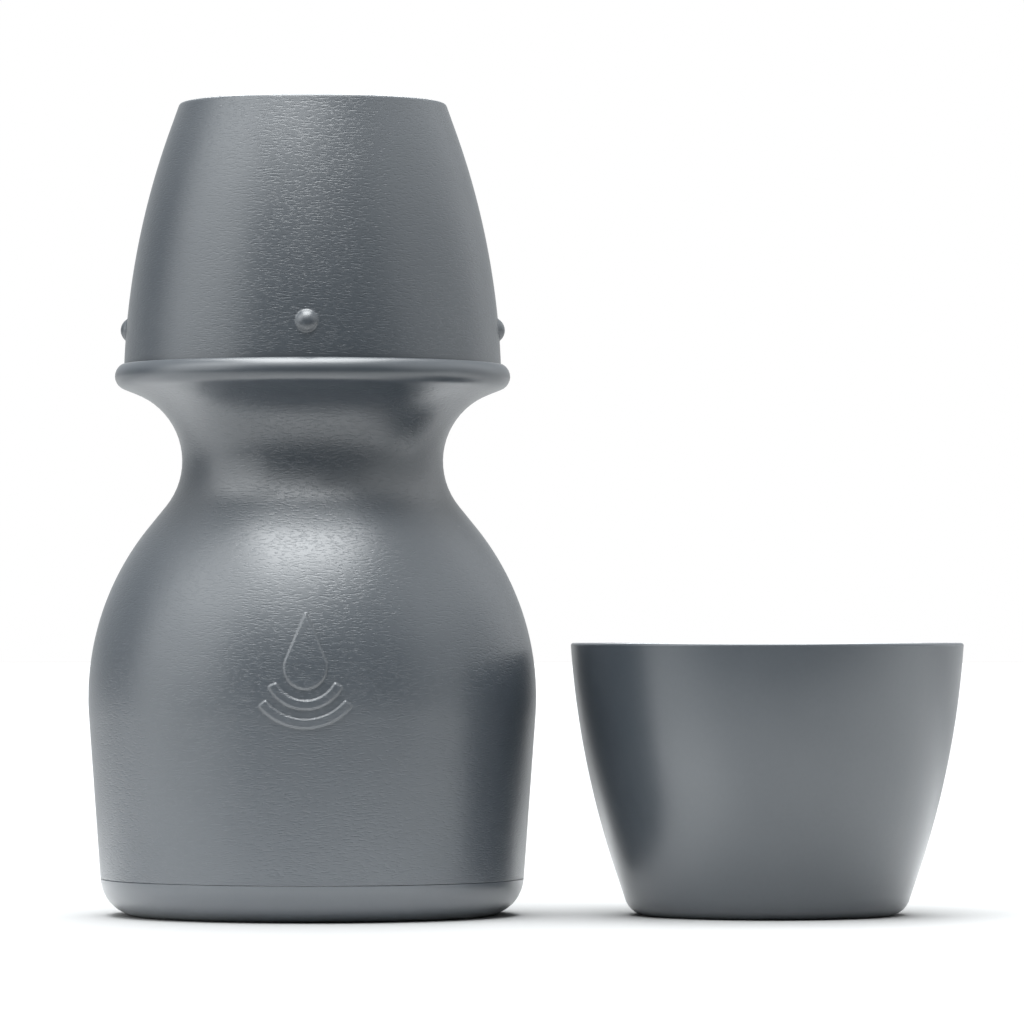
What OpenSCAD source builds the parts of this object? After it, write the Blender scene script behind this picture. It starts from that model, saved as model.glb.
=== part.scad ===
/* [Carafe] */
// Diameter at the belly's widest point
belly_d = 111.8; // [104:0.2:116]
// Height of the belly's widest point
belly_z = 54.4; // [50:0.2:60]
// Radius of the belly's curve, seen from the side
belly_curve = 67.2; // [62:0.2:72]
// Length of the straight between the belly's curve and the waist's
shoulder_l = 6.8; // [4:0.1:12]
// Diameter at the waist
waist_d = 65.2; // [60:0.2:70]
// Radius of the waist's curve, seen from the side
waist_curve = 17.9; // [16.5:0.1:19]
// Length of the straight between the waist's curve and the bead round the lip
flare_l = 3.6; // [3:0.1:6]
// Diameter of the foot, above its rounded heel
foot_d = 105.6; // [102:0.2:109]
// Radius of the heel
heel_r = 9.5; // [8:0.1:11]
// Thickness of the wall
carafe_wall = 1.5; // [1.2:0.1:1.8]
// Height of the seam between the body and the base
seam_z = 9.2; // [9:0.1:11]

/* [Mouth] */
// Outer diameter of the beaded lip
lip_d = 98.8; // [98:0.1:100]
// Thickness of the bead
bead_d = 6.8; // [6.4:0.1:7.2]
// Gap all round between the lip and the cover
seat_gap = 0.3; // [0.1:0.05:0.4]
// How deep the cover sits below the crest of the lip
seat_depth = 4.4; // [4:0.1:4.6]
// Width of the ledge that carries the cover's rim
ledge_w = 3.2; // [2.6:0.1:3.6]

/* [Cover tumbler] */
// Height of the cover tumbler
cover_h = 69.7; // [60:0.1:80]
// Diameter of its rim
cover_rim_d = 94.4; // [94:0.1:94.6]
// Radius of its wall's curve, seen from the side
cover_curve = 195; // [185:1:230]
// Radius of the edge round its foot
cover_corner_r = 1; // [0.8:0.1:2]
// Height of the lugs above the rim
lug_z = 13; // [10:0.5:20]
// Diameter of a lug
lug_d = 5.5; // [4:0.1:6]
// How far a lug stands out of the wall
lug_out = 1.5; // [1:0.1:1.8]

/* [Drinking tumbler] */
// Height of the drinking tumbler
tumbler_h = 67.9; // [55:0.1:75]
// Diameter of its rim
tumbler_rim_d = 98.2; // [90:0.2:100]
// Radius of its wall's curve, seen from the side
tumbler_curve = 227; // [200:1:260]
// Radius of the edge round its foot
tumbler_corner_r = 5.5; // [4:0.1:7]
// Distance between the carafe's axis and the tumbler's
tumbler_x = 113.6; // [110:0.2:140]

/* [Raised mark] */
// Height of the mark's middle
mark_z = 62; // [58:0.5:66]
// How far the mark stands out of the belly
mark_out = 0.5; // [0.3:0.05:0.6]
// Radius of the drop's round end
drop_r = 5; // [4:0.1:5.4]

/* [Hidden] */
$fn = 180;

// Two circles, or a circle and a line, that should only touch are made to cross by this much instead.
nip = 0.003;
// Pieces that rest on each other keep this gap.
rest_gap = 0.05;
graphite = [0.42, 0.44, 0.46];

// --- Outlines: chains of arcs joined by straights that touch both neighbours ---
// An arc is [centre, radius], and the radius of a hollow arc is negative.

down = -90;
up = 90;

function dir(a) = [cos(a), sin(a)];

function on_arc(arc, a, inset = 0) = arc[0] + (arc[1] - inset) * dir(a);

// Direction in which the straight between two arcs faces
function facing(p, q) =
    let (d = q[0] - p[0])
    atan2(d.y, d.x) - acos((p[1] - q[1]) / norm(d));

// The arc above p whose centre is at radius x, with a straight of a given length between the two
function next_arc(p, x, r, straight) =
    [[x, p[0].y + sqrt((p[1] - r) ^ 2 + straight ^ 2 - (x - p[0].x) ^ 2)], r];

// Directions at which a chain's arcs begin and end
function turns(arcs, first, last) =
    [first, for (i = [1 : len(arcs) - 1]) facing(arcs[i - 1], arcs[i]), last];

// The sliver that a convex arc adds outside its chord, run on a little past both ends
module bulge(centre, r, first, last) {
    past = 2 * acos(1 - nip / r);
    depth = min(0.5, r / 2);
    from = first - past;
    to = last + past;
    intersection() {
        translate(centre)
            circle(r + nip);
        polygon([
            centre + (r - depth) * dir(from),
            centre + 2 * r * dir(from),
            centre + 2 * r * dir((from + to) / 2),
            centre + 2 * r * dir(to),
            centre + (r - depth) * dir(to)
        ]);
    }
}

// The area between the axis and a chain of arcs, all of it moved in by inset
module outline(arcs, first, last, inset = 0) {
    t = turns(arcs, first, last);
    ends = [for (i = [0 : len(arcs) - 1], k = [0, 1]) on_arc(arcs[i], t[i + k], inset)];
    floor_z = ends[0].y;
    top_z = ends[len(ends) - 1].y;
    difference() {
        union() {
            polygon([[0, floor_z], each ends, [0, top_z]]);
            for (i = [0 : len(arcs) - 1])
                if (arcs[i][1] > 0)
                    bulge(arcs[i][0], arcs[i][1] - inset, t[i], t[i + 1]);
        }
        for (arc = arcs)
            if (arc[1] < 0)
                translate(arc[0])
                    circle(inset - arc[1] + nip);
    }
}

// The part of a 2-D area between two heights
module between(low, high, reach = 200) {
    intersection() {
        children();
        translate([0, low])
            square([reach, high - low]);
    }
}

// --- Carafe ---

heel = [[foot_d / 2 - heel_r, heel_r], heel_r];
belly = [[belly_d / 2 - belly_curve, belly_z], belly_curve];
waist = next_arc(belly, waist_d / 2 + waist_curve, -waist_curve, shoulder_l);
bead = next_arc(waist, (lip_d - bead_d) / 2, bead_d / 2, flare_l);

// The bead is cut off level just below its top, which leaves the lip a narrow flat crest.
crest = 0.87;
carafe_h = bead[0].y + crest * bead_d / 2;
ledge_z = carafe_h - seat_depth;
seat_r = cover_rim_d / 2 + seat_gap;
ledge_r = seat_r - ledge_w;
// The straight part of the wall under the lip
flare = facing(waist, bead);

module carafe_outline(inset = 0) {
    between(0, carafe_h)
        outline([heel, belly, waist, bead], down, up, inset);
}

// The hollow inside: belly and neck at the wall's thickness, then the ledge and the seat for the cover
module carafe_hollow() {
    outline([heel, belly, waist], down, flare, carafe_wall);
    along = dir(flare + 90);
    start = on_arc(waist, flare, carafe_wall) - along;
    over = carafe_h + 1;
    polygon([
        [0, start.y],
        start,
        start + along * (ledge_r - start.x) / along.x,
        [ledge_r, ledge_z],
        [seat_r, ledge_z],
        [seat_r, over],
        [0, over]
    ]);
}

// A fine V round the seam, cut half from each piece
groove = 0.15;

module seam_groove() {
    seam_r = on_arc(heel, facing(heel, belly)).x;
    translate([seam_r, seam_z])
        rotate(45)
            square(groove, center = true);
}

// Areas of the raised mark: a water drop over two ripples
module drop() {
    tip = 2.6 * drop_r;
    touch = acos(drop_r / tip);
    circle(drop_r + nip);
    polygon([drop_r * dir(90 + touch), drop_r * dir(90 - touch), [0, tip]]);
}

module ripple(r, w, spread) {
    intersection() {
        difference() {
            circle(r + w / 2);
            circle(r - w / 2);
        }
        polygon([[0, 0], 2 * r * dir(down - spread), 2 * r * dir(down), 2 * r * dir(down + spread)]);
    }
}

module mark_area() {
    drop();
    ripple(1.8 * drop_r, 0.36 * drop_r, 62);
    ripple(2.7 * drop_r, 0.36 * drop_r, 50);
}

// The mark follows the belly: a skin that straddles the wall's outside, cut to the mark's outline
module raised_mark() {
    root = carafe_wall / 2;
    intersection() {
        rotate_extrude()
            between(mark_z - 30, mark_z + 30)
                difference() {
                    outline([heel, belly, waist], down, flare, -mark_out);
                    outline([heel, belly, waist], down, flare, root);
                }
        translate([0, 0, mark_z])
            rotate([90, 0, 0])
                linear_extrude(belly_d)
                    mark_area();
    }
}

module carafe_body() {
    color(graphite) {
        rotate_extrude()
            between(seam_z + rest_gap, carafe_h)
                difference() {
                    carafe_outline();
                    carafe_hollow();
                    seam_groove();
                }
        raised_mark();
    }
}

// The welded base: heel, floor with a push-up in its middle, and a spigot that centres it in the body
spigot_h = 4;
spigot_w = 1.4;
push_up_r = 34;
push_up_h = 2.5;

module carafe_base() {
    wall_r = on_arc(heel, facing(heel, belly), carafe_wall).x;
    spigot_r = wall_r - 2 * rest_gap;
    color(graphite)
        rotate_extrude()
            difference() {
                union() {
                    between(0, seam_z)
                        carafe_outline();
                    intersection() {
                        carafe_outline();
                        square([spigot_r, seam_z + spigot_h]);
                    }
                }
                difference() {
                    between(0, seam_z + spigot_h + 1)
                        intersection() {
                            outline([heel, belly, waist], down, flare, carafe_wall);
                            square([spigot_r - spigot_w, 100]);
                        }
                    square([push_up_r + carafe_wall, push_up_h + carafe_wall]);
                }
                square([push_up_r, push_up_h]);
                seam_groove();
            }
}

// --- Tumblers, both drawn standing on their foot ---

tumbler_wall = 1.4;
tumbler_floor = 1.6;
tumbler_inner_r = 4;
foot_ring_w = 5;
foot_ring_h = 1.2;
gate_r = 1.5;
gate_h = 0.4;

// A corner's centre: where its circle would touch the wall's, moved out so that a straight joins them
function corner(side, r, floor_z, shift = 0.12) =
    let (z = floor_z + r)
    [[side[0].x + sqrt((side[1] - r) ^ 2 - (side[0].y - z) ^ 2) + shift, z], r];

// The wall's arc through the rim. It would stand upright at a height of upright_z.
function side(rim_d, h, curve, upright_z) =
    [[rim_d / 2 - sqrt(curve ^ 2 - (h - upright_z) ^ 2), upright_z], curve];

// Direction in which a wall faces at a height, and its radius there
function facing_at(side, z) = asin((z - side[0].y) / side[1]);
function radius_at(side, z, inset = 0) = on_arc(side, facing_at(side, z), inset).x;

module cup_inside(side, h, wall) {
    inner = [side[0], side[1] - wall];
    floor_z = foot_ring_h + tumbler_floor;
    outline([corner(inner, tumbler_inner_r, floor_z), inner], down, facing_at(inner, h + 1));
}

// Half of a tumbler's section: wall with a full-round rim, floor and foot ring
module cup_section(side, h, corner_r) {
    foot = corner(side, corner_r, 0);
    rim_r = tumbler_wall / 2;
    difference() {
        between(0, h - rim_r)
            outline([foot, side], down, facing_at(side, h));
        cup_inside(side, h, tumbler_wall);
        difference() {
            square([foot[0].x - foot_ring_w, foot_ring_h]);
            translate([0, foot_ring_h - gate_h])
                square([gate_r, gate_h]);
        }
    }
    translate([radius_at(side, h - rim_r, rim_r), h - rim_r])
        circle(rim_r + nip);
}

// Four stacking lugs, domes that stand out of the wall and are rooted in its middle
module lugs(side, z, h) {
    dome_r = (lug_d ^ 2 / 4 + lug_out ^ 2) / (2 * lug_out);
    difference() {
        for (turn = [0 : 90 : 270])
            rotate(turn)
                translate([radius_at(side, z) + lug_out - dome_r, 0, z])
                    sphere(dome_r);
        rotate_extrude()
            cup_inside(side, h, tumbler_wall / 2);
    }
}

// The cover is a tumbler turned over, with its rim on the ledge in the carafe's mouth
module cover_tumbler() {
    wall = side(cover_rim_d, cover_h, cover_curve, cover_h + 3);
    color(graphite)
        translate([0, 0, ledge_z + rest_gap + cover_h])
            rotate([180, 0, 0]) {
                rotate_extrude()
                    cup_section(wall, cover_h, cover_corner_r);
                lugs(wall, cover_h - lug_z, cover_h);
            }
}

module tumbler() {
    wall = side(tumbler_rim_d, tumbler_h, tumbler_curve, tumbler_h + 15);
    color(graphite)
        translate([tumbler_x, 0, 0])
            rotate_extrude()
                cup_section(wall, tumbler_h, tumbler_corner_r);
}

carafe_body();
carafe_base();
cover_tumbler();
tumbler();
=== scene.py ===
"""A bedside water carafe: moulded body and base, a tumbler as its cover, another beside it."""
import math

import bpy
import numpy as np
from mathutils import Matrix, Vector


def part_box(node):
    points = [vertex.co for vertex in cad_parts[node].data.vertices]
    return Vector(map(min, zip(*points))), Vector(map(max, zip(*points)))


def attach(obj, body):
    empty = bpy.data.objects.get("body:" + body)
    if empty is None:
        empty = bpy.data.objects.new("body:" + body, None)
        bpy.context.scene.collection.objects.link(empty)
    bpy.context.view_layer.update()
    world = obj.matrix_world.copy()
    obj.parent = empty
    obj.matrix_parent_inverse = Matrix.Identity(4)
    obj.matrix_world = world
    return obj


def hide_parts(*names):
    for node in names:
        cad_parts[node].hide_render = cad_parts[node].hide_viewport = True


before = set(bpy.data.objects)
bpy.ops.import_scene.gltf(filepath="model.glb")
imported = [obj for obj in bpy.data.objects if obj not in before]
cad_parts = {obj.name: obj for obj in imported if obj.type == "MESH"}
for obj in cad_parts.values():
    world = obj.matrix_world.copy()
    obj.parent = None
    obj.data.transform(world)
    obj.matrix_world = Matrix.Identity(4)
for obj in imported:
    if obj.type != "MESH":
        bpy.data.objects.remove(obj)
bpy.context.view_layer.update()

MM = 0.001

# Directions in degrees: of an outline, with 0 outwards, and round the axis, with 0 to the right
DOWN = -90.0
UP = 90.0
FRONT = -90.0

# ---------------------------------------------------------------------------
# Dimensions in millimetres, as in the CAD source
# ---------------------------------------------------------------------------

BELLY_D = 111.8
BELLY_Z = 54.4
BELLY_CURVE = 67.2
SHOULDER_L = 6.8
WAIST_D = 65.2
WAIST_CURVE = 17.9
FLARE_L = 3.6
FOOT_D = 105.6
HEEL_R = 9.5
CARAFE_WALL = 1.5
SEAM_Z = 9.2
GROOVE = 0.15

LIP_D = 98.8
BEAD_D = 6.8
CREST = 0.87
SEAT_R = 47.5
SEAT_DEPTH = 4.4
LEDGE_W = 3.2

SPIGOT_H = 4.0
SPIGOT_W = 1.4
PUSH_UP_R = 34.0
PUSH_UP_H = 2.5

COVER_H = 69.7
COVER_RIM_D = 94.4
COVER_CURVE = 195.0
COVER_UPRIGHT = 3.0
COVER_CORNER_R = 1.0
LUG_Z = 13.0
LUG_D = 5.5
LUG_OUT = 1.5
LUG_TURNS = (FRONT, 0, 90, 180)

TUMBLER_H = 67.9
TUMBLER_RIM_D = 98.2
TUMBLER_CURVE = 227.0
TUMBLER_UPRIGHT = 15.0
TUMBLER_CORNER_R = 5.5
TUMBLER_X = 113.6

CUP_WALL = 1.4
CUP_FLOOR = 1.6
CUP_INNER_R = 4.0
FOOT_RING_W = 5.0
FOOT_RING_H = 1.2
GATE_R = 1.5
GATE_H = 0.4

MARK_Z = 62.0
MARK_OUT = 0.5
DROP_R = 5.0
DROP_TIP = 2.6 * DROP_R
RIPPLE_W = 0.36 * DROP_R
RIPPLES = ((1.8 * DROP_R, 62.0), (2.7 * DROP_R, 50.0))  # radius, and half angle in degrees
MARK_BEVEL = 0.3
MARK_BELOW = 15.5
MARK_ABOVE = 14.0
MARK_HALF_TURN = 16.0

REST_GAP = 0.05

# ---------------------------------------------------------------------------
# Outlines: chains of arcs joined by straights that touch both neighbours.
# An arc is (centre, radius), and the radius of a hollow arc is negative.
# ---------------------------------------------------------------------------

FINE = 0.02  # distance between the points of an arc before thinning
TINY = 1e-6


def ray(angle):
    return np.array([math.cos(math.radians(angle)), math.sin(math.radians(angle))])


def facing(p, q):
    """Direction in which the straight between two arcs faces, in degrees."""
    d = q[0] - p[0]
    return math.degrees(math.atan2(d[1], d[0]) - math.acos((p[1] - q[1]) / np.hypot(*d)))


def next_arc(p, x, radius, straight):
    """The arc above p with its centre at radius x and a straight of a given length before it."""
    rise = math.sqrt((p[1] - radius) ** 2 + straight**2 - (x - p[0][0]) ** 2)
    return np.array([x, p[0][1] + rise]), radius


def arc(centre, radius, start, end):
    """Close points along an arc between two directions."""
    count = 2 + int(abs(radius) * abs(math.radians(end - start)) / FINE)
    turns = np.radians(np.linspace(start, end, count))
    return centre + radius * np.column_stack([np.cos(turns), np.sin(turns)])


def chain(arcs, first, last, inset=0.0):
    """The outline along a chain of arcs, from one direction to another, moved inwards by inset."""
    turns = [first] + [facing(p, q) for p, q in zip(arcs, arcs[1:])] + [last]
    return np.concatenate([arc(c, r - inset, a, b) for (c, r), a, b in zip(arcs, turns, turns[1:])])


def between(points, low, high):
    """The part of a rising line between two heights."""
    ends = [[np.interp(z, points[:, 1], points[:, 0]), z] for z in (low, high)]
    inside = points[(points[:, 1] > low) & (points[:, 1] < high)]
    return np.concatenate([ends[:1], inside, ends[1:]])


def along(points):
    """Distance along a line at each of its points."""
    return np.append(0, np.cumsum(np.hypot(*np.diff(points, axis=0).T)))


def at(points, s, where):
    """Points where asked along a line. s is the distance at each of the line's own points."""
    return np.column_stack([np.interp(where, s, points[:, k]) for k in (0, 1)])


def soften(runs, radii):
    """Joins runs of points end to end and rounds the corner after each run by its radius."""
    points = np.concatenate(runs)
    s = along(points)
    ends = np.cumsum([len(run) for run in runs])[:-1]
    made, reached = [], -1.0
    for end, radius in zip(ends, radii):
        if radius == 0:
            continue
        corner = points[end - 1]
        place = s[end - 1]
        before, after = at(points, s, [place - FINE, place + 2 * FINE])
        a = (corner - before) / np.hypot(*(corner - before))
        b = (after - corner) / np.hypot(*(after - corner))
        turn = math.acos(max(-1.0, min(1.0, float(a @ b))))
        cut = radius * math.tan(turn / 2)
        first, last = at(points, s, [place - cut, place + cut])
        keep = (s > reached) & (s < place - cut)
        t = np.linspace(0, 1, 2 + int(radius * turn / FINE))[:, None]
        w = math.cos(turn / 2)
        middle = 2 * w * t * (1 - t)
        blend = (1 - t) ** 2 * first + middle * corner + t**2 * last
        made += [points[keep], blend / ((1 - t) ** 2 + middle + t**2)]
        reached = place + cut
    return np.concatenate(made + [points[s > reached]])


def spread(s_fine, wish, growth=0.45):
    """Places along a line, as far apart as wish says there, with gaps that grow gently."""
    gap = np.diff(s_fine, append=s_fine[-1])
    wish = wish.copy()
    for k in range(1, len(wish)):
        wish[k] = min(wish[k], wish[k - 1] + growth * gap[k - 1])
    for k in range(len(wish) - 2, -1, -1):
        wish[k] = min(wish[k], wish[k + 1] + growth * gap[k])
    load = np.append(0, np.cumsum(gap[:-1] * 2 / (wish[:-1] + wish[1:])))
    count = int(math.ceil(load[-1]))
    return np.interp(np.linspace(0, load[-1], count + 1), load, s_fine)


def thin(points, step, zone=None, gap=0.25, turn=14.0, least=0.05):
    """Fewer points on a fine line: up to step apart, turn degrees apart where it bends, but no
    closer than least. They are at most a gap apart where zone(points) is true."""
    keep = np.append(True, np.hypot(*np.diff(points, axis=0).T) > TINY)
    points = points[keep]
    # Long straights get points of their own, so that gaps can be set along them.
    s = along(points)
    fine = np.union1d(s, np.arange(0, s[-1], FINE * 4))
    points = at(points, s, fine)
    way = np.diff(points, axis=0)
    heading = np.unwrap(np.arctan2(way[:, 1], way[:, 0]))
    gaps = np.diff(fine)
    bend = np.abs(np.diff(heading)) / np.maximum(0.5 * (gaps[1:] + gaps[:-1]), FINE)
    bend = np.concatenate([bend[:1], bend, bend[-1:]])
    wish = np.clip(math.radians(turn) / np.maximum(bend, TINY), least, step)
    if zone:
        inside = zone(points)
        wish[inside] = np.minimum(wish[inside], gap)
    return at(points, fine, spread(fine, wish))


def off_turn(turns, centre):
    """Angle between directions and a centre direction, without its sign."""
    return np.abs((np.asarray(turns) - centre + 180) % 360 - 180)


def angles(count, centres=(), half=0.0, gap=1.0):
    """Directions round the axis: count of them, and a gap apart within half of each centre."""
    fine = np.arange(-180, 180 + 1e-9, 0.01)
    wish = np.full(len(fine), 360.0 / count)
    for centre in centres:
        wish[off_turn(fine, centre) < half] = gap
    return spread(fine, wish)[:-1]


# ---------------------------------------------------------------------------
# Surfaces of revolution
# ---------------------------------------------------------------------------


def lathe(name, section, turns, closed, shape=None):
    """A watertight mesh: a section of (radius, height) points turned to each direction in turns.
    An open section starts and ends on the axis. shape(grid, section, turns) moves the points."""
    if closed:
        section = section[:-1]
    body = section if closed else section[1:-1]
    a = np.radians(turns)
    grid = np.empty((len(body), len(a), 3))
    grid[..., 0] = body[:, :1] * np.cos(a)
    grid[..., 1] = body[:, :1] * np.sin(a)
    grid[..., 2] = body[:, 1:]
    if shape:
        grid = shape(grid, body, turns)
    rows, cols = grid.shape[:2]
    index = np.arange(rows * cols).reshape(rows, cols)
    low = index if closed else index[:-1]
    high = np.roll(index, -1, axis=0) if closed else index[1:]
    quads = np.stack([low, np.roll(low, -1, 1), np.roll(high, -1, 1), high], -1)
    verts = [grid.reshape(-1, 3)]
    faces = quads.reshape(-1, 4).tolist()
    if not closed:
        first_pole = rows * cols
        for row, pole, flip in ((index[0], first_pole, True), (index[-1], first_pole + 1, False)):
            for i, j in zip(row, np.roll(row, -1)):
                faces.append([pole, j, i] if flip else [pole, i, j])
        verts.append([[0, 0, section[0][1]], [0, 0, section[-1][1]]])
    mesh = bpy.data.meshes.new(name)
    mesh.from_pydata((np.concatenate(verts) * MM).tolist(), [], faces)
    mesh.polygons.foreach_set("use_smooth", [True] * len(mesh.polygons))
    mesh.update()
    thing = bpy.data.objects.new(name, mesh)
    bpy.context.scene.collection.objects.link(thing)
    return thing


def smooth_max(a, b, width):
    """The larger of two values, with the crease between them rounded over a width."""
    h = np.clip(0.5 + 0.5 * (a - b) / width, 0, 1)
    return b + (a - b) * h + width * h * (1 - h)


# ---------------------------------------------------------------------------
# Carafe
# ---------------------------------------------------------------------------

HEEL = (np.array([FOOT_D / 2 - HEEL_R, HEEL_R]), HEEL_R)
BELLY = (np.array([BELLY_D / 2 - BELLY_CURVE, BELLY_Z]), BELLY_CURVE)
WAIST = next_arc(BELLY, WAIST_D / 2 + WAIST_CURVE, -WAIST_CURVE, SHOULDER_L)
BEAD = next_arc(WAIST, (LIP_D - BEAD_D) / 2, BEAD_D / 2, FLARE_L)
CARAFE_H = BEAD[0][1] + CREST * BEAD_D / 2
LEDGE_Z = CARAFE_H - SEAT_DEPTH
LEDGE_R = SEAT_R - LEDGE_W
FLARE = facing(WAIST, BEAD)

outside = chain([HEEL, BELLY, WAIST, BEAD], DOWN, UP)
inside = chain([HEEL, BELLY, WAIST], DOWN, FLARE, CARAFE_WALL)
SEAM_R = np.interp(SEAM_Z, outside[:, 1], outside[:, 0])
WALL_R = np.interp(SEAM_Z, inside[:, 1], inside[:, 0])
NOTCH = GROOVE / math.sqrt(2)


def point(x, z):
    return np.array([[x, z]])


def drop_distance(x, z):
    """Signed distance to the drop's edge, negative within it."""
    sine = DROP_R / DROP_TIP
    cosine = math.sqrt(1 - sine**2)
    x = np.abs(x)
    side = -sine * x + cosine * z
    round_end = np.hypot(x, z) - DROP_R
    tip = np.hypot(x, z - DROP_TIP)
    slope = cosine * x + sine * z - DROP_R
    return np.where(side < 0, round_end, np.where(side > cosine * DROP_TIP, tip, slope))


def ripple_distance(x, z, radius, half_angle, corner=0.25):
    """Signed distance to a ripple's edge: a band below the drop, with rounded ends."""
    half = math.radians(half_angle)
    band = np.abs(np.hypot(x, z) - radius) - RIPPLE_W / 2
    wedge = np.abs(x) * math.cos(half) + z * math.sin(half)
    return smooth_max(band, wedge, corner)


def mark_distance(x, z):
    """Signed distance to the edge of the whole mark, seen from the front."""
    z = z - MARK_Z
    found = drop_distance(x, z)
    for radius, half_angle in RIPPLES:
        found = np.minimum(found, ripple_distance(x, z, radius, half_angle))
    return found


def mark_zone(points, margin=0.0):
    """The part of the carafe's outside that has the mark on it."""
    shell = np.interp(points[:, 1], outside[:, 1], outside[:, 0])
    outer = points[:, 0] > shell - CARAFE_WALL / 2
    above = points[:, 1] > MARK_Z - MARK_BELOW - margin
    return outer & above & (points[:, 1] < MARK_Z + MARK_ABOVE + margin)


def raise_mark(grid, section, turns):
    """Stands the mark out of the belly's front.
    Points near its edges first slide onto them, so that the edges stay crisp."""
    rows = np.where(mark_zone(section, margin=2.0))[0]
    cols = np.where(np.abs(np.asarray(turns) - FRONT) < MARK_HALF_TURN)[0]
    patch = np.ix_(rows, cols)
    x, z = grid[patch][..., 0].copy(), grid[patch][..., 2].copy()
    line = section[rows]
    reach = 0.13
    step = 0.01
    for level in (0.0, MARK_BEVEL):
        off = mark_distance(x, z) - level
        gx = (mark_distance(x + step, z) - mark_distance(x - step, z)) / (2 * step)
        gz = (mark_distance(x, z + step) - mark_distance(x, z - step)) / (2 * step)
        near = np.abs(off) < reach
        x = np.where(near, x - off * gx, x)
        z = np.where(near, z - off * gz, z)
    out = MARK_OUT * np.clip(1 - mark_distance(x, z) / MARK_BEVEL, 0, 1)
    radius = np.interp(z, line[:, 1], line[:, 0])
    slope = np.gradient(line[:, 0], line[:, 1])
    tilt = np.interp(z, line[:, 1], slope)
    across = 1 / np.sqrt(1 + tilt**2)
    turn = np.arcsin(np.clip(x / radius, -1, 1))
    radius = radius + out * across
    z = z - out * tilt * across
    grid[patch] = np.stack([radius * np.sin(turn), -radius * np.cos(turn), z], -1)
    return grid


def carafe_body():
    low = SEAM_Z + REST_GAP
    wall = between(outside, SEAM_Z + NOTCH, CARAFE_H)
    lining = between(inside, low, inside[-1][1])
    way = ray(FLARE + 90)
    under = lining[-1] + way * (LEDGE_R - lining[-1][0]) / way[0]
    half = len(lining) // 2
    section = soften(
        [
            lining[half::-1],
            point(SEAM_R - NOTCH + REST_GAP, low),
            wall[:1],
            wall[1:],
            point(SEAT_R, CARAFE_H),
            point(SEAT_R, LEDGE_Z),
            point(LEDGE_R, LEDGE_Z),
            point(*under),
            lining[: half - 1 : -1],
        ],
        [0.15, 0.05, 0.08, 0.25, 0.15, 0.35, 0.5, 1.0],
    )
    section = thin(section, 1.8, zone=mark_zone, gap=0.27)
    turns = angles(200, centres=(FRONT,), half=12.0, gap=0.28)
    return lathe("carafe_body", section, turns, True, raise_mark)


def carafe_base():
    spigot_r = WALL_R - 2 * REST_GAP
    spigot_in = spigot_r - SPIGOT_W
    spigot_top = SEAM_Z + SPIGOT_H
    lining = between(inside, CARAFE_WALL, SEAM_Z)
    floor = lining[lining[:, 0] < spigot_in]
    section = soften(
        [
            point(0, PUSH_UP_H),
            point(PUSH_UP_R, PUSH_UP_H),
            point(PUSH_UP_R, 0),
            between(outside, 0, SEAM_Z - NOTCH),
            point(SEAM_R - NOTCH, SEAM_Z),
            point(spigot_r, SEAM_Z),
            point(spigot_r, spigot_top),
            point(spigot_in, spigot_top),
            point(spigot_in, floor[-1][1]),
            floor[::-1],
            point(PUSH_UP_R + CARAFE_WALL, CARAFE_WALL),
            point(PUSH_UP_R + CARAFE_WALL, PUSH_UP_H + CARAFE_WALL),
            point(0, PUSH_UP_H + CARAFE_WALL),
        ],
        [0, 1.2, 0.6, 0.08, 0.05, 0.1, 0.3, 0.3, 0.3, 0, 1.0, 1.2],
    )
    return lathe("carafe_base", thin(section, 1.5), angles(240), False)


# ---------------------------------------------------------------------------
# Tumblers
# ---------------------------------------------------------------------------


def wall_arc(rim_d, height, curve, upright):
    """The wall's arc through the rim. It would stand upright at a height of upright."""
    return np.array([rim_d / 2 - math.sqrt(curve**2 - (height - upright) ** 2), upright]), curve


def corner_arc(wall, radius, floor_z, shift=0.12):
    """The arc between a floor and a wall, moved out so that a straight joins it to the wall's."""
    z = floor_z + radius
    x = wall[0][0] + math.sqrt((wall[1] - radius) ** 2 - (wall[0][1] - z) ** 2) + shift
    return np.array([x, z]), radius


def facing_at(wall, z):
    """Direction in which a wall's arc faces at a height."""
    return math.degrees(math.asin((z - wall[0][1]) / wall[1]))


def cup_section(wall, height, corner_r):
    """Half of a tumbler's section: foot ring, wall with a full-round rim, and the hollow."""
    foot = corner_arc(wall, corner_r, 0)
    rim_r = CUP_WALL / 2
    rim_z = height - rim_r
    tilt = facing_at(wall, rim_z)
    rim = np.array([wall[0][0] + (wall[1] - rim_r) * ray(tilt)[0], rim_z])
    bore = (wall[0], wall[1] - CUP_WALL)
    floor_z = FOOT_RING_H + CUP_FLOOR
    hollow = chain([corner_arc(bore, CUP_INNER_R, floor_z), bore], DOWN, tilt)
    ring = foot[0][0] - FOOT_RING_W
    return soften(
        [
            point(0, FOOT_RING_H - GATE_H),
            point(GATE_R, FOOT_RING_H - GATE_H),
            point(GATE_R, FOOT_RING_H),
            point(ring, FOOT_RING_H),
            point(ring, 0),
            chain([foot, wall], DOWN, tilt),
            arc(rim, rim_r, tilt, tilt + 180),
            hollow[::-1],
            point(0, floor_z),
        ],
        [0, 0.12, 0.12, 0.5, 0.4, 0, 0, 0],
    )


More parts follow.
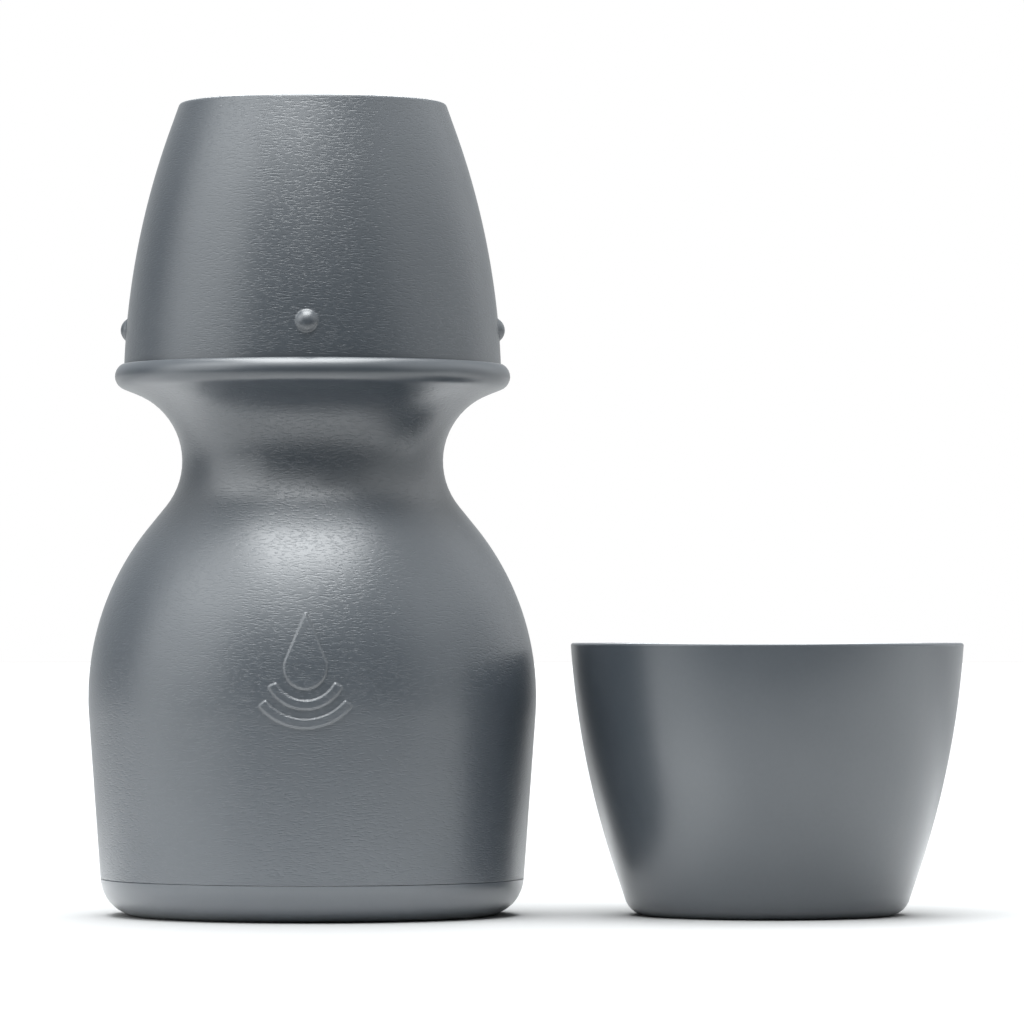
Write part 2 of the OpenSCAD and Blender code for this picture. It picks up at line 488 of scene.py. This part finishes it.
def cover_tumbler():
    """The cover: a tumbler drawn on its foot, turned over, with four lugs raised on its wall."""
    wall = wall_arc(COVER_RIM_D, COVER_H, COVER_CURVE, COVER_H + COVER_UPRIGHT)
    _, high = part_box("cover_tumbler")
    top = high.z / MM
    section = cup_section(wall, COVER_H, COVER_CORNER_R)
    section = np.column_stack([section[:, 0], top - section[:, 1]])[::-1]
    lug_z = top - COVER_H + LUG_Z
    lug_wall_r = wall[0][0] + wall[1] * ray(facing_at(wall, COVER_H - LUG_Z))[0]
    dome_r = (LUG_D**2 / 4 + LUG_OUT**2) / (2 * LUG_OUT)
    dome_x = lug_wall_r + LUG_OUT - dome_r
    edge = 4.0  # half width of the patch round a lug
    reach = 0.12
    blend = 0.18

    def lug_zone(points):
        height = top - points[:, 1]
        shell = wall[0][0] + np.sqrt(wall[1] ** 2 - (height - wall[0][1]) ** 2)
        return (np.abs(points[:, 1] - lug_z) < edge) & (points[:, 0] > shell - CUP_WALL / 2)

    def raise_lugs(grid, line, turns):
        rows = np.where(lug_zone(line))[0]
        for turn in LUG_TURNS:
            off = np.radians(off_turn(turns, turn)) * lug_wall_r
            patch = np.ix_(rows, np.where(off < edge)[0])
            out, side = ray(turn), ray(turn + 90)
            p = grid[patch]
            v = p[..., :2] @ side
            w = p[..., 2] - lug_z
            d = np.hypot(v, w)
            # Points close to the dome's foot slide onto it, which keeps its circle clean.
            near = np.abs(d - LUG_D / 2) < reach
            slide = np.where(near, LUG_D / 2 / np.maximum(d, TINY), 1.0)
            v, w = v * slide, w * slide
            shell = np.interp(w + lug_z, line[rows, 1], line[rows, 0])
            u = np.sqrt(shell**2 - v**2)
            dome = dome_x + np.sqrt(np.maximum(dome_r**2 - v**2 - w**2, 0))
            dome = np.where(v**2 + w**2 < dome_r**2, dome, dome_x)
            u = np.where(d < LUG_D / 2 + 0.6, smooth_max(dome, u, blend), u)
            p[..., :2] = u[..., None] * out + v[..., None] * side
            p[..., 2] = w + lug_z
            grid[patch] = p
        return grid

    section = thin(section, 1.6, zone=lug_zone, gap=0.24)
    turns = angles(180, centres=LUG_TURNS, half=math.degrees(edge / lug_wall_r), gap=0.3)
    return lathe("cover_tumbler", section, turns, False, raise_lugs)


def drinking_tumbler():
    wall = wall_arc(TUMBLER_RIM_D, TUMBLER_H, TUMBLER_CURVE, TUMBLER_H + TUMBLER_UPRIGHT)
    section = cup_section(wall, TUMBLER_H, TUMBLER_CORNER_R)
    thing = lathe("tumbler", thin(section, 1.5), angles(240), False)
    thing.data.transform(Matrix.Translation((TUMBLER_X * MM, 0, 0)))
    return thing


# ---------------------------------------------------------------------------
# Materials
# ---------------------------------------------------------------------------


class Nodes:
    """Short calls that add shader nodes and link them."""

    def __init__(self, tree):
        self.tree = tree
        tree.nodes.clear()

    def plug(self, socket, value):
        if isinstance(value, bpy.types.NodeSocket):
            self.tree.links.new(value, socket)
        else:
            socket.default_value = value

    def add(self, kind, inputs=None, **settings):
        node = self.tree.nodes.new("ShaderNode" + kind)
        for key, value in settings.items():
            setattr(node, key, value)
        for key, value in (inputs or {}).items():
            self.plug(node.inputs[key], value)
        return node

    def math(self, operation, *values):
        return self.add("Math", dict(enumerate(values)), operation=operation).outputs[0]

    def vector(self, operation, *values, output=0):
        return self.add("VectorMath", dict(enumerate(values)), operation=operation).outputs[output]

    def noise(self, where, scale, detail=2.0, distortion=0.0):
        spots = {"Vector": where, "Scale": scale, "Detail": detail, "Distortion": distortion}
        return self.add("TexNoise", spots, noise_type="FBM").outputs["Fac"]

    def length(self, x, y):
        flat = self.add("CombineXYZ", {"X": x, "Y": y}).outputs[0]
        return self.vector("LENGTH", flat, output=1)

    def fit(self, value, from_low, from_high, to_low, to_high, kind="LINEAR"):
        spots = {0: value, 1: from_low, 2: from_high, 3: to_low, 4: to_high}
        return self.add("MapRange", spots, interpolation_type=kind).outputs[0]

    def ease(self, value, from_low, from_high, to_low, to_high):
        return self.fit(value, from_low, from_high, to_low, to_high, "SMOOTHSTEP")

    def mix(self, share, a, b):
        node = self.add("Mix", data_type="RGBA")
        for key, value in ((0, share), (6, a), (7, b)):
            self.plug(node.inputs[key], value)
        return node.outputs[2]


def grained_part(n, place):
    """1 where the mould is grained and 0 on the smooth bead and lugs."""
    x, y, z = n.add("SeparateXYZ", {0: place}).outputs
    sideways = n.math("MINIMUM", n.math("ABSOLUTE", x), n.math("ABSOLUTE", y))
    up = n.math("SUBTRACT", z, (LEDGE_Z + REST_GAP + LUG_Z) * MM)
    lug_r = LUG_D / 2 * MM
    off_lug = n.fit(n.length(sideways, up), 0.95 * lug_r, 1.05 * lug_r, 0.0, 1.0)
    from_bead = n.math("ABSOLUTE", n.math("SUBTRACT", z, float(BEAD[0][1]) * MM))
    bead_r = BEAD_D / 2 * MM
    off_bead = n.fit(from_bead, bead_r, bead_r + GRAIN_FADE, 0.0, 1.0)
    return n.math("MULTIPLY", off_lug, off_bead)


def plastic(name, roughness, grain_depth):
    """Satin moulded plastic with wavy level wrinkles of the depth given, or smooth at depth 0."""
    material = bpy.data.materials.new(name)
    material.use_nodes = True
    n = Nodes(material.node_tree)
    place = n.add("TexCoord").outputs["Object"]
    cloud = n.noise(place, CLOUD_SCALE, detail=3.0)
    fleck = n.noise(place, FLECK_SCALE)
    tint = n.math("ADD", n.math("MULTIPLY", cloud, 0.75), n.math("MULTIPLY", fleck, 0.25))
    base = n.mix(n.ease(tint, 0.35, 0.65, 0.0, 1.0), GRAPHITE, GRAPHITE_LIGHT)
    wear = n.noise(place, WEAR_SCALE, detail=4.0)
    rough = n.fit(wear, 0.3, 0.7, roughness - ROUGHNESS_SWING, roughness + ROUGHNESS_SWING)
    skin = n.noise(place, SKIN_SCALE)
    if grain_depth:
        drift = n.math("MULTIPLY", n.noise(place, DRIFT_SCALE, detail=1.0), DRIFT_RISE)
        bent = n.vector("ADD", place, n.add("CombineXYZ", {"Z": drift}).outputs[0])
        waves = n.noise(n.vector("MULTIPLY", bent, GRAIN_SCALE), 1.0, distortion=0.25)
        dents = n.math("MULTIPLY", n.ease(waves, 0.48, 0.70, 0.0, 1.0), grained_part(n, place))
        height = n.math("SUBTRACT", n.math("MULTIPLY", skin, 0.1), dents)
    else:
        height = skin
    depth = grain_depth or SKIN_DEPTH
    bump = n.add("Bump", {"Strength": 1.0, "Distance": depth, "Height": height})
    look = {"Base Color": base, "Roughness": rough, "IOR": PLASTIC_IOR, "Normal": bump.outputs[0]}
    shader = n.add("BsdfPrincipled", look)
    n.tree.links.new(shader.outputs[0], n.add("OutputMaterial").inputs[0])
    return material


GRAPHITE = (0.029, 0.035, 0.042, 1.0)
GRAPHITE_LIGHT = (0.034, 0.040, 0.047, 1.0)
PLASTIC_IOR = 1.62
ROUGHNESS_SWING = 0.025

# Scales of the noises, per metre, and depths in metres
CLOUD_SCALE = 28.0
FLECK_SCALE = 900.0
WEAR_SCALE = 60.0
SKIN_SCALE = 1400.0
SKIN_DEPTH = 0.000004
GRAIN_SCALE = (640.0, 640.0, 2900.0)
GRAIN_DEPTH = 0.000028
GRAIN_FADE = 0.0006
DRIFT_SCALE = 90.0
DRIFT_RISE = 0.0015

grained = plastic("satin_grained", 0.34, GRAIN_DEPTH)
smooth = plastic("satin_smooth", 0.32, 0.0)

# ---------------------------------------------------------------------------
# Pieces
# ---------------------------------------------------------------------------

# How each is built, its CAD node, its body, its material slot and its material
PIECES = (
    (carafe_body, "carafe_body", "carafe", "grained_plastic", grained),
    (carafe_base, "carafe_base", "carafe", "smooth_plastic", smooth),
    (cover_tumbler, "cover_tumbler", "cover", "grained_plastic", grained),
    (drinking_tumbler, "tumbler", "loose_tumbler", "smooth_plastic", smooth),
)

for build, node, body, slot, material in PIECES:
    piece = build()
    piece.name = node + "_visual"
    piece.data.materials.append(material)
    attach(piece, body)
    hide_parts(node)

# ---------------------------------------------------------------------------
# Stage: a pale floor, with painted light in what the pieces see of it, and a studio painted on the
# sky
# ---------------------------------------------------------------------------


def stage_floor():
    half = FLOOR_HALF
    corners = [(-half, -half, 0), (half, -half, 0), (half, half, 0), (-half, half, 0)]
    mesh = bpy.data.meshes.new("floor")
    mesh.from_pydata(corners, [], [(0, 1, 2, 3)])
    floor = bpy.data.objects.new("floor", mesh)
    bpy.context.scene.collection.objects.link(floor)
    floor.location.z = -FLOOR_DROP
    material = bpy.data.materials.new("floor")
    material.use_nodes = True
    n = Nodes(material.node_tree)
    x, y, _ = n.add("SeparateXYZ", {0: n.add("TexCoord").outputs["Object"]}).outputs
    # The floor's colour as the pieces see it is painted light: a painted glow round a point in
    # front of them, and painted shade far in front and behind.
    from_painted_glow = n.length(x, n.math("ADD", y, PAINTED_GLOW_MIDDLE))
    level = n.ease(from_painted_glow, *PAINTED_GLOW_FALLOFF)
    level = n.math("MULTIPLY", level, n.ease(y, *PAINTED_SHADE_IN_FRONT))
    level = n.math("MULTIPLY", level, n.ease(y, *PAINTED_SHADE_BEHIND))
    # The camera sees one even level. The painted glow and painted shade appear only in the pieces'
    # reflections and in the light bounced onto them.
    seen = n.add("LightPath").outputs["Is Camera Ray"]
    level = n.fit(seen, 0.0, 1.0, level, FLOOR_FOR_CAMERA)
    camera_level_and_painted_glow = n.add("CombineColor", {0: level, 1: level, 2: level}).outputs[0]
    look = {"Base Color": camera_level_and_painted_glow, "Roughness": 0.9, "Specular IOR Level": 0.0}
    shader = n.add("BsdfPrincipled", look)
    n.tree.links.new(shader.outputs[0], n.add("OutputMaterial").inputs[0])
    mesh.materials.append(material)


def light_box(n, across, up, half_w, half_h, soft, bright):
    """A soft-edged patch of light, from the distances to its middle."""
    patch = n.ease(across, half_w - soft, half_w + soft, bright, 0.0)
    return n.math("MULTIPLY", patch, n.ease(up, half_h - soft, half_h + soft, 1.0, 0.0))


def studio():
    """Paints the lights on the sky: boxes on the walls and the ceiling of a room that is dim in
    front and lit behind. The camera itself sees plain white."""
    world = bpy.data.worlds.new("studio")
    world.use_nodes = True
    bpy.context.scene.world = world
    n = Nodes(world.node_tree)
    way = n.add("TexCoord").outputs["Generated"]
    x, y, z = n.add("SeparateXYZ", {0: way}).outputs
    front = n.math("MULTIPLY", y, -1.0)
    azimuth = n.math("MULTIPLY", n.math("ARCTAN2", x, front), 180 / math.pi)
    elevation = n.math("MULTIPLY", n.math("ARCSINE", z), 180 / math.pi)
    room_front = n.ease(elevation, *ROOM_FRONT)
    room_back = n.ease(elevation, *ROOM_BACK)
    total = n.ease(n.math("ABSOLUTE", azimuth), *ROOM_TURN, room_front, room_back)

    def gap(value, middle):
        return n.math("ABSOLUTE", n.math("SUBTRACT", value, middle))

    for az, el, *rest in WALL_BOXES:
        turn = n.math("WRAP", n.math("SUBTRACT", azimuth, az), 180.0, -180.0)
        across = n.math("ABSOLUTE", turn)
        total = n.math("ADD", total, light_box(n, across, gap(elevation, el), *rest))
    height = n.math("MAXIMUM", z, HORIZON)
    for right, ahead, *rest in CEILING_BOXES:
        across = gap(n.math("DIVIDE", x, height), right)
        up = gap(n.math("DIVIDE", front, height), ahead)
        total = n.math("ADD", total, light_box(n, across, up, *rest))
    sky = n.add("Background", {"Color": SKY, "Strength": total})
    backdrop = n.add("Background", {"Color": WHITE, "Strength": 1.0})
    seen = n.add("LightPath").outputs["Is Camera Ray"]
    mixed = n.add("MixShader", {0: seen, 1: sky.outputs[0], 2: backdrop.outputs[0]})
    n.tree.links.new(mixed.outputs[0], n.add("OutputWorld").inputs[0])


FLOOR_HALF = 12.0
FLOOR_DROP = 0.00002
# What the pieces see of the floor is painted light: a painted glow, brightest round a point in
# front of them, fading into painted shade in front
# and behind. Each line: from where, to where, level there and there. The camera sees one level.
PAINTED_GLOW_MIDDLE = 0.07
PAINTED_GLOW_FALLOFF = (0.03, 0.11, 0.80, 0.48)
PAINTED_SHADE_IN_FRONT = (-0.45, -0.14, 0.04, 1.0)
PAINTED_SHADE_BEHIND = (0.08, 0.32, 1.0, 0.42)
FLOOR_FOR_CAMERA = 0.25

SKY = (0.965, 0.99, 1.0, 1)
WHITE = (1, 1, 1, 1)
HORIZON = 0.01  # lowest height of a direction that still reaches the ceiling
# The room in front and behind: from one elevation to another, brightness at each. ROOM_TURN is
# where the one passes into the other, in degrees from the front.
ROOM_FRONT = (6.0, 42.0, 0.0, 1.1)
ROOM_BACK = (10.0, 35.0, 0.75, 0.375)
ROOM_TURN = (100.0, 165.0)
# Azimuth and elevation of the middle, half width, half height and soft edge, all in degrees, and
# brightness. Azimuth 0 is in front of the object and 90 is on its right.
WALL_BOXES = (
    (-72.0, 19.0, 28, 25, 10, 2.7),
    (-40.0, 48.0, 46, 13, 9, 2.6),
    (97.0, 18.0, 45, 24, 14, 1.05),
)
# The same on a ceiling at height 1: how far right and how far in front its middle is, half width,
# half depth, soft edge and brightness
CEILING_BOXES = ((-0.03, -0.50, 0.42, 1.12, 0.08, 12.6),)

stage_floor()
studio()

# ---------------------------------------------------------------------------
# Camera
# ---------------------------------------------------------------------------

VIEW_SIDE = 0.04985
VIEW_DISTANCE = 1.5825
VIEW_HEIGHT = 0.0710
AIM_HEIGHT = 0.1006
LENS = 222.5
SENSOR = 36.0

camera_data = bpy.data.cameras.new("camera")
camera_data.lens = LENS
camera_data.sensor_width = SENSOR
camera_data.clip_end = 100.0
camera = bpy.data.objects.new("camera", camera_data)
camera.location = Vector((VIEW_SIDE, -VIEW_DISTANCE, VIEW_HEIGHT))
aim = Vector((VIEW_SIDE, 0, AIM_HEIGHT))
camera.rotation_euler = (aim - camera.location).to_track_quat("-Z", "Y").to_euler()

scene = bpy.context.scene
scene.collection.objects.link(camera)
scene.camera = camera
scene.view_settings.view_transform = "Standard"
scene.view_settings.look = "None"
scene.cycles.use_denoising = True
